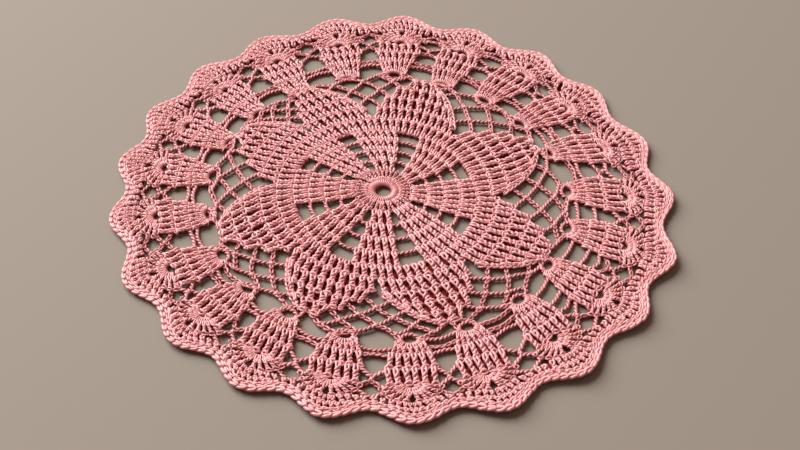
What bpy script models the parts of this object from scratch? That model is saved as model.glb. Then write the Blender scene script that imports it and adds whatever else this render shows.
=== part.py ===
# Round crochet lace doily, lying flat: one solid with its scalloped rim, its raised centre ring
# and every open space of the lace over about 4 mm cut through.
# Metres, +Z up. The origin is the middle of the doily's outline, on the surface it lies on.
import math
from collections import namedtuple

import bpy
from mathutils import Vector
from mathutils.geometry import delaunay_2d_cdt

MM = 0.001

# thicknesses and widths, in millimetres
CLOTH_THICK = 2.4  # closely worked stitches
EDGE_THICK = 2.1  # the same beside an open space
CHAIN_THICK = 1.8  # the open net and the chains between the fans
CHAIN_WIDTH = 2.0
RIM_LINES = ((0.0, 1.7), (1.5, 2.9), (3.6, 2.3))  # the rolled rim: distance inside, thickness
RING_LINES = ((3.9, 2.0), (5.4, 3.2), (7.4, 2.3))  # the centre ring: radius, thickness
RING_CENTRE = (-2.9, 0.1)  # the ring sits a little to one side of the outline's middle
RING_STEPS = 18

# the eight petals, anticlockwise, measured from the ring's centre: the ladder window below each
# petal with its middle and half width at the foot and at the top, the petal's tip, and the notch
# between it and the next one
Petal = namedtuple("Petal", "foot_deg foot_half top_deg top_half top tip_deg tip notch_deg notch")
PETALS = (
    Petal(20.3, 3.7, 24.1, 8.6, 41.0, 27.5, 75.5, 52.0, 50.0),
    Petal(65.3, 7.4, 75.3, 8.3, 40.0, 78.0, 76.0, 99.0, 51.0),
    Petal(113.3, 6.5, 120.8, 6.0, 40.0, 122.5, 75.0, 135.0, 56.0),
    Petal(157.3, 4.6, 158.2, 6.3, 40.5, 152.0, 74.0, 179.0, 50.0),
    Petal(206.9, 4.8, 204.2, 8.2, 40.5, 203.5, 73.5, 226.5, 54.5),
    Petal(249.8, 4.7, 247.4, 7.7, 45.0, 248.0, 75.5, 270.0, 58.0),
    Petal(288.8, 4.9, 288.4, 7.4, 45.5, 293.0, 78.0, 313.0, 56.5),
    Petal(333.1, 3.7, 332.0, 7.4, 43.0, 336.0, 77.5, 360.0, 51.0),
)
WINDOW_FOOT = 13.0  # where the ladder windows start, from the ring's centre
WINDOW_ROWS = 4
NET_ROWS = 4  # rows of meshes from a notch out to the petals' tips
CORNER_CUT = 0.21  # share of a side lost where an opening's corner is rounded
KNOT_CUT = 0.16  # the same in the net

# the twenty-one fans, anticlockwise, measured from the doily's middle: the arch that each fan
# grows from, the arch half way up it, its scallop's tip, how far that tip is off the surface, and
# the top of the opening under the first arch
Fan = namedtuple("Fan", "base_deg base mid_deg mid tip_deg tip lift under")
FANS = (
    Fan(4.5, 82.5, 2.5, 107.5, 3.0, 127.5, 1.2, 81.3),
    Fan(23.0, 82.5, 20.0, 104.5, 19.5, 125.5, 0.6, 79.8),
    Fan(40.0, 83.0, 38.0, 104.5, 38.0, 124.5, 0.0, 78.8),
    Fan(57.0, 82.5, 54.5, 107.0, 55.0, 125.5, 0.0, 79.0),
    Fan(73.5, 84.5, 72.5, 107.5, 72.0, 125.5, 0.0, 79.5),
    Fan(91.0, 86.0, 89.5, 107.5, 89.0, 127.5, 0.3, 82.0),
    Fan(107.5, 85.5, 106.5, 107.0, 106.0, 126.5, 0.0, 80.5),
    Fan(126.0, 84.0, 124.5, 106.0, 124.0, 124.5, 0.0, 79.5),
    Fan(144.0, 85.5, 142.5, 104.5, 141.5, 124.0, 0.0, 80.5),
    Fan(161.0, 84.5, 159.5, 104.0, 159.0, 123.5, 0.0, 80.5),
    Fan(177.5, 84.5, 176.0, 104.0, 175.5, 123.5, 0.0, 81.0),
    Fan(194.5, 85.0, 193.0, 105.0, 192.5, 123.5, 0.0, 82.0),
    Fan(212.0, 85.5, 210.5, 106.0, 210.0, 124.5, 0.3, 83.3),
    Fan(227.5, 85.5, 226.5, 107.0, 227.5, 124.0, 0.5, 84.8),
    Fan(242.5, 85.5, 243.0, 107.0, 244.0, 124.5, 0.4, 84.3),
    Fan(260.0, 87.0, 260.0, 107.5, 260.5, 125.5, 0.7, 85.5),
    Fan(278.0, 87.0, 277.0, 108.5, 277.0, 125.5, 1.0, 85.7),
    Fan(295.0, 86.0, 293.5, 108.5, 294.0, 127.0, 1.2, 84.5),
    Fan(313.5, 85.0, 311.5, 107.5, 311.0, 127.0, 1.4, 83.3),
    Fan(330.5, 82.5, 329.0, 107.5, 328.5, 127.0, 1.2, 81.0),
    Fan(348.0, 84.0, 346.0, 108.0, 345.0, 128.5, 1.5, 81.8),
)
VALLEY_DEPTH = 6.4  # of the outline between two scallops
OUTLINE_STEPS = 7  # points for each scallop
# the round of chain that carries the arches, inside the fans' feet: between two fans and at one
ROUND_DROP_BETWEEN = 5.2
ROUND_DROP_AT_FAN = 6.4
ARCH_HALF_DEG = 2.7  # half width of the opening under an arch
ARCH_TAPER = 0.7  # its width at the top against its foot
ARCH_WALL = 0.85  # from the middle of a chain to the opening beside it
LIFT_FROM = 0.8  # share of the radius at which a lifted scallop leaves the surface
LIFT_AT_VALLEY = 0.5  # lift beside a scallop against that at its tip

# half width of a fan in degrees; steps run from 0 at its arch to 1 half way and 2 at its tip
FLANK = ((-0.26, 4.1), (0.0, 3.7), (0.15, 4.6), (0.3, 5.4), (0.6, 5.9), (1.0, 6.1), (1.25, 6.3))

# the open spaces between two fans: from and to by those steps, across from -1 at one fan to 1 at
# the next, and how much of each corner is rounded off
Gap = namedtuple("Gap", "start end left right round_off")
GAPS = (
    Gap(-0.20, 0.03, -0.97, 0.97, 0.24),
    Gap(0.29, 0.64, -0.97, 0.97, 0.27),
    Gap(0.74, 0.94, -0.98, -0.14, 0.25),
    Gap(0.74, 0.94, 0.14, 0.98, 0.25),
    Gap(1.04, 1.25, -0.98, 0.98, 0.30),
)

# where the closely worked parts reach their full thickness
RIB_POINTS = (22.0, 34.0)  # radii, on the ribs between two windows
PETAL_POINTS = ((0.14, 14.0), (0.36, 11.0), (0.60, 7.5), (0.82, 3.5))  # share out, degrees across
FAN_POINTS = ((0.32, 2.4), (0.72, 3.4), (1.30, 4.2))  # step out, degrees across

NODE = "doily"
PINK = (0.66, 0.22, 0.245, 1.0)  # dusty pink cotton
ROUGHNESS = 0.62


# ---- plane geometry, all in millimetres -------------------------------------------------------


def lerp(a, b, share):
    return a + (b - a) * share


def polar(deg, radius, centre=(0.0, 0.0)):
    angle = math.radians(deg)
    return (centre[0] + radius * math.cos(angle), centre[1] + radius * math.sin(angle))


def bearing(point, centre=(0.0, 0.0)):
    """Degrees from 0 to 360, and distance, of a point seen from a centre."""
    dx, dy = point[0] - centre[0], point[1] - centre[1]
    return math.degrees(math.atan2(dy, dx)) % 360.0, math.hypot(dx, dy)


def table_value(table, x):
    """A value between the rows of a table of (x, value)."""
    for (x0, y0), (x1, y1) in zip(table, table[1:]):
        if x <= x1:
            return lerp(y0, y1, max(0.0, (x - x0) / (x1 - x0)))
    return table[-1][1]


def area(points):
    return sum(a[0] * b[1] - a[1] * b[0] for a, b in zip(points, points[1:] + points[:1])) / 2.0


def anticlockwise(points):
    return points if area(points) > 0.0 else points[::-1]


def inset(points, distance):
    """A convex polygon with each side moved inwards."""
    points = anticlockwise(points)
    lines = []
    for (x0, y0), (x1, y1) in zip(points, points[1:] + points[:1]):
        length = math.hypot(x1 - x0, y1 - y0)
        a, b = (y0 - y1) / length, (x1 - x0) / length
        lines.append((a, b, a * x0 + b * y0 + distance))
    corners = []
    for (a, b, c), (d, e, f) in zip(lines[-1:] + lines[:-1], lines):
        scale = a * e - b * d
        corners.append(((c * e - b * f) / scale, (a * f - c * d) / scale))
    return corners


def rounded(points, share):
    """Each corner cut back by that share of its two sides."""
    corners = []
    for before, here, after in zip(points[-1:] + points[:-1], points, points[1:] + points[:1]):
        for other in (before, after):
            corners.append((lerp(here[0], other[0], share), lerp(here[1], other[1], share)))
    return corners


def inside(point, polygon):
    x, y = point
    odd = False
    for (x0, y0), (x1, y1) in zip(polygon, polygon[1:] + polygon[:1]):
        if (y0 > y) != (y1 > y) and x < x0 + (y - y0) / (y1 - y0) * (x1 - x0):
            odd = not odd
    return odd


# ---- the star ----------------------------------------------------------------------------------


def window_side(petal, side, radius):
    """Degrees of a window's middle line (side 0) or one of its edges (-1 or 1) at a radius."""
    share = (radius - WINDOW_FOOT) / (petal.top - WINDOW_FOOT)
    middle = lerp(petal.foot_deg, petal.top_deg, share)
    return middle + side * lerp(petal.foot_half, petal.top_half, share)


def window_holes():
    holes = []
    half = CHAIN_WIDTH / 2.0
    for petal in PETALS:
        rows = [lerp(WINDOW_FOOT, petal.top, i / WINDOW_ROWS) for i in range(WINDOW_ROWS + 1)]
        for i in range(WINDOW_ROWS):
            low = rows[i] + half
            high = rows[i + 1] - (half if i < WINDOW_ROWS - 1 else 0.0)
            corners = [
                polar(window_side(petal, side, radius), radius, RING_CENTRE)
                for side, radius in ((1, low), (-1, low), (-1, high), (1, high))
            ]
            holes.append(rounded(corners, CORNER_CUT))
    return holes


def next_petal(k):
    """Petal k, the one after it, and the turn that keeps their degrees rising."""
    other = PETALS[(k + 1) % len(PETALS)]
    return PETALS[k], other, (360.0 if other.tip_deg < PETALS[k].tip_deg else 0.0)


def knot(k, i, row):
    """Knot i of a row of the net after petal k. Row 0 is the notch; the row past the petals'
    tips lies on the round of chain that carries the fans' arches."""
    petal, other, turn = next_petal(k)
    share = min(row, NET_ROWS) / NET_ROWS
    across = i / max(row, 1) if row <= NET_ROWS else (i + 0.5) / NET_ROWS
    deg = lerp(
        lerp(petal.notch_deg, petal.tip_deg, share),
        lerp(petal.notch_deg, other.tip_deg + turn, share),
        across,
    )
    radius = lerp(lerp(petal.notch, petal.tip, share), lerp(petal.notch, other.tip, share), across)
    point = polar(deg, radius, RING_CENTRE)
    if row <= NET_ROWS:
        return point
    deg = bearing(point)[0]
    radius, share = base_round(deg)
    at_fan = (1.0 + math.cos(2.0 * math.pi * share)) / 2.0
    return polar(deg, radius - lerp(ROUND_DROP_BETWEEN, ROUND_DROP_AT_FAN, at_fan))


def net_holes():
    holes = []
    for k in range(len(PETALS)):
        for row in range(NET_ROWS):
            for i in range(row + 1):
                top = knot(k, i + 1, row + 2) if row < NET_ROWS - 1 else knot(k, i, row + 2)
                corners = [knot(k, i, row), knot(k, i + 1, row + 1), top, knot(k, i, row + 1)]
                holes.append(rounded(inset(corners, CHAIN_WIDTH / 2.0), KNOT_CUT))
    return holes


# ---- the fans ----------------------------------------------------------------------------------


def next_fan(j):
    """Fan j, the one after it, and the turn that keeps their degrees rising."""
    last = j == len(FANS) - 1
    return FANS[j], FANS[(j + 1) % len(FANS)], (360.0 if last else 0.0)


def base_round(deg):
    """Radius of the fans' feet, carried round from fan to fan, and the share of the way."""
    for j in range(len(FANS)):
        fan, other, turn = next_fan(j)
        ahead, span = (deg - fan.base_deg) % 360.0, other.base_deg + turn - fan.base_deg
        if ahead <= span:
            return lerp(fan.base, other.base, ahead / span), ahead / span
    return FANS[0].base, 0.0


def fan_axis(fan, step):
    """Degrees and radius on a fan's middle line, by steps from 0 at its arch to 2 at its tip."""
    if step < 1.0:
        return lerp(fan.base_deg, fan.mid_deg, step), lerp(fan.base, fan.mid, step)
    return lerp(fan.mid_deg, fan.tip_deg, step - 1.0), lerp(fan.mid, fan.tip, step - 1.0)


def gap_point(j, across, step):
    """A point in the gap after fan j: across runs from -1 at that fan to 1 at the next."""
    fan, other, turn = next_fan(j)
    wide = table_value(FLANK, step)
    deg, radius = fan_axis(fan, step)
    other_deg, other_radius = fan_axis(other, step)
    share = (across + 1.0) / 2.0
    return polar(
        lerp(deg + wide, other_deg + turn - wide, share), lerp(radius, other_radius, share)
    )


def fan_holes():
    holes = []
    for j, fan in enumerate(FANS):
        low, high = fan.base - ROUND_DROP_AT_FAN + ARCH_WALL, fan.under
        corners = [
            polar(fan.base_deg + side * wide * ARCH_HALF_DEG, radius)
            for side, wide, radius in (
                (1, 1.0, low), (-1, 1.0, low), (-1, ARCH_TAPER, high), (1, ARCH_TAPER, high)
            )
        ]
        holes.append(rounded(corners, CORNER_CUT))
        for gap in GAPS:
            corners = [
                gap_point(j, gap.left, gap.start),
                gap_point(j, gap.right, gap.start),
                gap_point(j, gap.right, gap.end),
                gap_point(j, gap.left, gap.end),
            ]
            holes.append(rounded(corners, gap.round_off))
    return holes


def rim_line(distance):
    """The scalloped outline, or a line that far inside it."""
    points = []
    for j in range(len(FANS)):
        fan, other, turn = next_fan(j)
        for i in range(OUTLINE_STEPS):
            share = i / OUTLINE_STEPS
            valley = VALLEY_DEPTH * (1.0 - math.cos(2.0 * math.pi * share)) / 2.0
            radius = lerp(fan.tip, other.tip, share) - valley - distance
            points.append(polar(lerp(fan.tip_deg, other.tip_deg + turn, share), radius))
    return points


def lift_at(point):
    """How far the underside is off the surface: some scallops stand up a little at the tip."""
    deg, radius = bearing(point)
    for j in range(len(FANS)):
        fan, other, turn = next_fan(j)
        ahead, span = (deg - fan.tip_deg) % 360.0, other.tip_deg + turn - fan.tip_deg
        if ahead <= span:
            share = ahead / span
            tip = lerp(fan.tip, other.tip, share)
            out = max(0.0, (radius / tip - LIFT_FROM) / (1.0 - LIFT_FROM))
            near_tip = (1.0 + math.cos(2.0 * math.pi * share)) / 2.0
            wave = lerp(LIFT_AT_VALLEY, 1.0, near_tip)
            return lerp(fan.lift, other.lift, share) * wave * min(out, 1.0) ** 2
    return 0.0


# ---- the sheet ---------------------------------------------------------------------------------


def cloth_points():
    """Points of full thickness well inside the closely worked parts."""
    points = []
    for k, petal in enumerate(PETALS):
        for radius in RIB_POINTS:
            before = window_side(PETALS[k - 1], 1.0, radius) - (0.0 if k else 360.0)
            between = (before + window_side(petal, -1.0, radius)) / 2.0
            points.append(polar(between, radius, RING_CENTRE))
        for share, spread in PETAL_POINTS:
            radius = lerp(petal.top, petal.tip, share)
            deg = lerp(petal.top_deg, petal.tip_deg, share)
            for side in (-1.0, 0.0, 1.0):
                points.append(polar(deg + side * spread, radius, RING_CENTRE))
    for fan in FANS:
        for step, spread in FAN_POINTS:
            deg, radius = fan_axis(fan, step)
            for side in (-1.0, 1.0):
                points.append(polar(deg + side * spread, radius))
    return points


def flat_sheet():
    """Points of the lace seen from above with their thicknesses, and its triangles."""
    points, thick, edges = [], [], []

    def add_loop(loop, thickness):
        first = len(points)
        points.extend(loop)
        thick.extend([thickness] * len(loop))
        edges.extend((first + i, first + (i + 1) % len(loop)) for i in range(len(loop)))

    for distance, thickness in RIM_LINES:
        add_loop(rim_line(distance), thickness)
    for radius, thickness in RING_LINES:
        steps = [360.0 * i / RING_STEPS for i in range(RING_STEPS)]
        add_loop([polar(deg, radius, RING_CENTRE) for deg in steps], thickness)
    eye = points[-RING_STEPS * len(RING_LINES):][:RING_STEPS]
    holes = [(hole, EDGE_THICK) for hole in window_holes()]
    holes += [(hole, CHAIN_THICK) for hole in net_holes()]
    holes += [(hole, EDGE_THICK) for hole in fan_holes()]
    for hole, thickness in holes:
        add_loop(hole, thickness)
    for point in cloth_points():
        points.append(point)
        thick.append(CLOTH_THICK)

    vectors = [Vector(point) for point in points]
    found = delaunay_2d_cdt(vectors, edges, [], 0, 1e-6)
    corners, faces, sources = found[0], found[2], found[3]
    outline = points[: OUTLINE_STEPS * len(FANS)]
    kept = []
    for face in faces:
        centre = [sum(corners[i][axis] for i in face) / len(face) for axis in (0, 1)]
        if not inside(centre, outline) or inside(centre, eye):
            continue
        if any(inside(centre, hole) for hole, thickness in holes):
            continue
        kept.append(list(face))
    return [tuple(corner) for corner in corners], [thick[source[0]] for source in sources], kept


def main():
    for old in list(bpy.data.objects):
        bpy.data.objects.remove(old, do_unlink=True)
    points, thick, triangles = flat_sheet()
    count = len(points)
    middle = [(min(axis) + max(axis)) / 2.0 for axis in zip(*points)]
    vertices = []
    for side in (0.0, 1.0):
        for (x, y), thickness in zip(points, thick):
            height = lift_at((x, y)) + side * thickness
            vertices.append(((x - middle[0]) * MM, (y - middle[1]) * MM, height * MM))
    faces = [face[::-1] for face in triangles] + [[i + count for i in face] for face in triangles]
    sides = {(a, b) for face in triangles for a, b in zip(face, face[1:] + face[:1])}
    for a, b in sorted(sides):
        if (b, a) not in sides:
            faces.append([b + count, a + count, a])
            faces.append([b + count, a, b])
    mesh = bpy.data.meshes.new(NODE)
    mesh.from_pydata(vertices, [], faces)
    mesh.validate()
    mesh.update()
    doily = bpy.data.objects.new(NODE, mesh)
    bpy.context.scene.collection.objects.link(doily)
    material = bpy.data.materials.new("pink_cotton_thread")
    material.use_nodes = True
    shader = material.node_tree.nodes["Principled BSDF"]
    shader.inputs["Base Color"].default_value = PINK
    shader.inputs["Roughness"].default_value = ROUGHNESS
    shader.inputs["Metallic"].default_value = 0.0
    mesh.materials.append(material)


main()
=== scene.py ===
import math
from collections import namedtuple

import bpy
import numpy as np
from mathutils import Matrix, Vector


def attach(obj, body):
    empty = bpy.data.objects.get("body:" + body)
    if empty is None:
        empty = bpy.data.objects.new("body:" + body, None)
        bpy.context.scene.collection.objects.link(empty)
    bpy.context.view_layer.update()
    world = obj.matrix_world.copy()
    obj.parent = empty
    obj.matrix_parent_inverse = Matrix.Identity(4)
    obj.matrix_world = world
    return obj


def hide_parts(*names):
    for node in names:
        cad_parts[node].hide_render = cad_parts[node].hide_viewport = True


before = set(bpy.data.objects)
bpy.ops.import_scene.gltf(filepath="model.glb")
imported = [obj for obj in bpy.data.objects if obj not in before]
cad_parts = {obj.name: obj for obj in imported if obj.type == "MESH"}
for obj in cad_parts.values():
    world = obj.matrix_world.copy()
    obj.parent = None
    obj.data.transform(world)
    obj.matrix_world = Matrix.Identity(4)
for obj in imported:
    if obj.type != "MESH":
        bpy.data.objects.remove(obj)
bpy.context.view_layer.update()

mm = 0.001
wholeTurn = 360.0
rng = np.random.default_rng(21)

# the chart of the doily, in millimetres and degrees, the same sizes as the solid's
Petal = namedtuple("Petal", "windowDeg top tipDeg tip notchDeg notch")
Fan = namedtuple("Fan", "footDeg foot midDeg mid tipDeg tip lift under")
chart = {
    "ringCentre": (-2.9, 0.1),
    "windowFoot": 13.0,
    "windowRows": 4,
    "netRows": 4,
    "joinDrop": (5.2, 6.4),  # how far inside the arches the net ends, between two arches and at one
    "valleyDepth": 6.4,
    "outlineSteps": 7,  # points of the outline from one scallop's tip to the next
    "liftFrom": 0.8,  # share of the radius at which the rim begins to lift
    "liftAtValley": 0.5,  # share of the lift that is left in the valleys
    "liftRadii": (96, 131),
    "wave": 0.14,  # slow waves of the whole lace
    "waveAcross": (0.083, 1.3),
    "waveAlong": (0.071, -0.4),
    # angle and radius of the window's top, the petal's tip and the notch after it
    "petals": (
        (23.0, 41.0, 27.5, 75.5, 52.0, 50.0),
        (72.5, 40.0, 78.0, 76.0, 99.0, 51.0),
        (118.0, 40.0, 122.5, 75.0, 135.0, 56.0),
        (157.5, 40.5, 152.0, 74.0, 179.0, 50.0),
        (205.0, 40.5, 203.5, 73.5, 226.5, 54.5),
        (248.0, 45.0, 248.0, 75.5, 270.0, 58.0),
        (289.0, 45.5, 293.0, 78.0, 313.0, 56.5),
        (333.0, 43.0, 336.0, 77.5, 360.0, 51.0),
    ),
    # angle and radius of base arch, middle arch and scallop tip, lift of the tip, inner edge of the base arch
    "fans": (
        (4.5, 82.5, 2.5, 107.5, 3.0, 127.5, 1.2, 81.3),
        (23.0, 82.5, 20.0, 104.5, 19.5, 125.5, 0.6, 79.8),
        (40.0, 83.0, 38.0, 104.5, 38.0, 124.5, 0.0, 78.8),
        (57.0, 82.5, 54.5, 107.0, 55.0, 125.5, 0.0, 79.0),
        (73.5, 84.5, 72.5, 107.5, 72.0, 125.5, 0.0, 79.5),
        (91.0, 86.0, 89.5, 107.5, 89.0, 127.5, 0.3, 82.0),
        (107.5, 85.5, 106.5, 107.0, 106.0, 126.5, 0.0, 80.5),
        (126.0, 84.0, 124.5, 106.0, 124.0, 124.5, 0.0, 79.5),
        (144.0, 85.5, 142.5, 104.5, 141.5, 124.0, 0.0, 80.5),
        (161.0, 84.5, 159.5, 104.0, 159.0, 123.5, 0.0, 80.5),
        (177.5, 84.5, 176.0, 104.0, 175.5, 123.5, 0.0, 81.0),
        (194.5, 85.0, 193.0, 105.0, 192.5, 123.5, 0.0, 82.0),
        (212.0, 85.5, 210.5, 106.0, 210.0, 124.5, 0.3, 83.3),
        (227.5, 85.5, 226.5, 107.0, 227.5, 124.0, 0.5, 84.8),
        (242.5, 85.5, 243.0, 107.0, 244.0, 124.5, 0.4, 84.3),
        (260.0, 87.0, 260.0, 107.5, 260.5, 125.5, 0.7, 85.5),
        (278.0, 87.0, 277.0, 108.5, 277.0, 125.5, 1.0, 85.7),
        (295.0, 86.0, 293.5, 108.5, 294.0, 127.0, 1.2, 84.5),
        (313.5, 85.0, 311.5, 107.5, 311.0, 127.0, 1.4, 83.3),
        (330.5, 82.5, 329.0, 107.5, 328.5, 127.0, 1.2, 81.0),
        (348.0, 84.0, 346.0, 108.0, 345.0, 128.5, 1.5, 81.8),
    ),
    # half width of a fan in degrees, by steps from its arch (0) past the middle arch (1)
    "flank": ((-0.26, 4.1), (0.0, 3.7), (0.15, 4.6), (0.3, 5.4), (0.6, 5.9), (1.0, 6.1), (1.25, 6.3)),
}
petals = [Petal(*row) for row in chart["petals"]]
fans = [Fan(*row) for row in chart["fans"]]
ringCentre = np.array(chart["ringCentre"])


def lerp(a, b, t):
    return a + (b - a) * t


def unit(vectors, tiny=0.0):
    return vectors / (np.linalg.norm(vectors, axis=-1, keepdims=True) + tiny)


def polar(deg, radius, centre=(0.0, 0.0)):
    angle = np.radians(deg)
    return np.stack([centre[0] + radius * np.cos(angle), centre[1] + radius * np.sin(angle)], -1)


def aroundRing(deg, radius):
    return polar(deg, radius, ringCentre)


def bearing(point):
    return math.degrees(math.atan2(point[1], point[0])) % wholeTurn


def turnAfter(rows, k):
    return wholeTurn if k == len(rows) - 1 else 0.0


def pairAfter(rows, k):
    # a petal or fan, the next one, and a whole turn where that is the first again
    return rows[k], rows[(k + 1) % len(rows)], turnAfter(rows, k)


def pairBefore(rows, k):
    return rows[k - 1], rows[k], -wholeTurn if k == 0 else 0.0


def carried(rows, deg, column, value):
    # a value carried round from one row to the next, by the angle in that column
    for k in range(len(rows)):
        row, other, turn = pairAfter(rows, k)
        start = getattr(row, column)
        ahead, span = (deg - start) % wholeTurn, getattr(other, column) + turn - start
        if ahead <= span:
            return lerp(getattr(row, value), getattr(other, value), ahead / span), ahead / span
    return getattr(rows[0], value), 0.0


def nearness(share):
    # 1 at either row, 0 halfway between them
    return (1.0 + math.cos(2.0 * math.pi * share)) / 2.0


def joinRadius(deg):
    # where the net's last chains join, a little further in at each arch
    radius, share = carried(fans, deg % wholeTurn, "footDeg", "foot")
    return radius - lerp(*chart["joinDrop"], nearness(share))


def fanAxis(fan, step):
    if step < 1.0:
        return lerp(fan.footDeg, fan.midDeg, step), lerp(fan.foot, fan.mid, step)
    return lerp(fan.midDeg, fan.tipDeg, step - 1.0), lerp(fan.mid, fan.tip, step - 1.0)


def flankAt(step):
    return float(np.interp(step, *zip(*chart["flank"])))


def fanPoint(fan, degrees, step):
    # a point that many degrees beside a fan's middle line
    deg, radius = fanAxis(fan, step)
    return polar(deg + degrees, radius)


def gapPoint(j, across, step):
    # a point from -1 to 1 across the gap after fan j
    fan, other, turn = pairAfter(fans, j)
    wide = flankAt(step)
    deg, radius = fanAxis(fan, step)
    otherDeg, otherRadius = fanAxis(other, step)
    share = (across + 1.0) / 2.0
    return polar(lerp(deg + wide, otherDeg + turn - wide, share), lerp(radius, otherRadius, share))


def outlineRadius(deg):
    tip, share = carried(fans, deg, "tipDeg", "tip")
    return tip - chart["valleyDepth"] * (1.0 - math.cos(2.0 * math.pi * share)) / 2.0


def liftAt(deg, radius):
    lift, share = carried(fans, deg, "tipDeg", "lift")
    tip = carried(fans, deg, "tipDeg", "tip")[0]
    out = min(max(0.0, (radius / tip - chart["liftFrom"]) / (1.0 - chart["liftFrom"])), 1.0)
    return lift * lerp(chart["liftAtValley"], 1.0, nearness(share)) * out ** 2


def knot(k, i, row):
    # knot i of a row of the net after petal k; the row past the tips joins it to the fans
    petal, other, turn = pairAfter(petals, k)
    rows = chart["netRows"]
    share = min(row, rows) / rows
    across = i / max(row, 1) if row <= rows else (i + 0.5) / rows
    deg = lerp(lerp(petal.notchDeg, petal.tipDeg, share), lerp(petal.notchDeg, other.tipDeg + turn, share), across)
    radius = lerp(lerp(petal.notch, petal.tip, share), lerp(petal.notch, other.tip, share), across)
    point = aroundRing(deg, radius)
    if row <= rows:
        return point
    return polar(bearing(point), joinRadius(bearing(point)))


# the outline, whose middle is the origin
tipPairs = [pairAfter(fans, j) for j in range(len(fans))]
outlineShares = np.arange(chart["outlineSteps"]) / chart["outlineSteps"]
outlineDegs = [lerp(a.tipDeg, b.tipDeg + turn, share) for a, b, turn in tipPairs for share in outlineShares]
outline = np.array([polar(deg, 1.0) * outlineRadius(deg % wholeTurn) for deg in outlineDegs])
middle = (np.max(outline, 0) + np.min(outline, 0)) / 2.0

# lift of the rim's scallops, looked up by angle and radius
liftTable = np.array([[liftAt(deg, radius) for radius in range(*chart["liftRadii"])] for deg in range(360)])


def liftOf(points):
    first, last = chart["liftRadii"]
    deg = np.degrees(np.arctan2(points[..., 1], points[..., 0])) % wholeTurn
    radius = np.hypot(points[..., 0], points[..., 1])
    d0 = np.floor(deg).astype(int)
    r0 = np.clip(np.floor(radius).astype(int) - first, 0, last - first - 2)
    fd, fr = deg - d0, np.clip(radius - first - r0, 0, 1)
    d0 %= 360
    d1 = (d0 + 1) % 360
    low = liftTable[d0, r0] * (1 - fd) + liftTable[d1, r0] * fd
    high = liftTable[d0, r0 + 1] * (1 - fd) + liftTable[d1, r0 + 1] * fd
    (acrossPitch, acrossStart), (alongPitch, alongStart) = chart["waveAcross"], chart["waveAlong"]
    across, along = points[..., 0] * acrossPitch + acrossStart, points[..., 1] * alongPitch + alongStart
    return low * (1 - fr) + high * fr + chart["wave"] * (1 + np.sin(across) * np.cos(along))


print("chart laid out")

# strands are kept as arrays of points and swept into tubes
tubes = {
    "endShare": 0.62,  # thickness of a strand's two ends
    "uneven": 0.05,
    "roundness": 0.4,  # how much more a tube's own height counts in its painted shade, darkening its underside
    "uvStart": 9.0,
}


def smoothing(knots, samples):
    rows = np.zeros((samples, knots))
    for j, t in enumerate(np.linspace(0, knots - 1, samples)):
        i = min(int(t), knots - 2)
        f = t - i
        weights = (-0.5 * f + f ** 2 - 0.5 * f ** 3, 1 - 2.5 * f ** 2 + 1.5 * f ** 3,
                   0.5 * f + 2 * f ** 2 - 1.5 * f ** 3, -0.5 * f ** 2 + 0.5 * f ** 3)
        for offset, weight in zip((-1, 0, 1, 2), weights):
            rows[j, min(max(i + offset, 0), knots - 1)] += weight
    return rows


def smoothed(points, samples):
    points = np.asarray(points, float)
    if points.ndim == 2:
        points = points[None]
    return np.einsum("mk,nkc->nmc", smoothing(points.shape[1], samples), points)


def plateParts(plates):
    # points, faces, uv, tone and height of thin closed plates of painted shade, each of four low and four high corners
    count = len(plates)
    points = plates.reshape(-1, 3)
    points[:, 2] += liftOf(points)
    grid = np.arange(count * 8).reshape(count, 2, 4)
    faces = [grid[:, 0, ::-1], grid[:, 1]]
    for n in range(4):
        m = (n + 1) % 4
        faces.append(np.stack([grid[:, 0, n], grid[:, 0, m], grid[:, 1, m], grid[:, 1, n]], -1))
    faces = np.concatenate(faces)
    # height 0 gives the plates the full painted shade colour
    return points, [faces], points[faces.ravel(), :2], np.full(len(points), 0.5), np.zeros(len(points))


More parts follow.
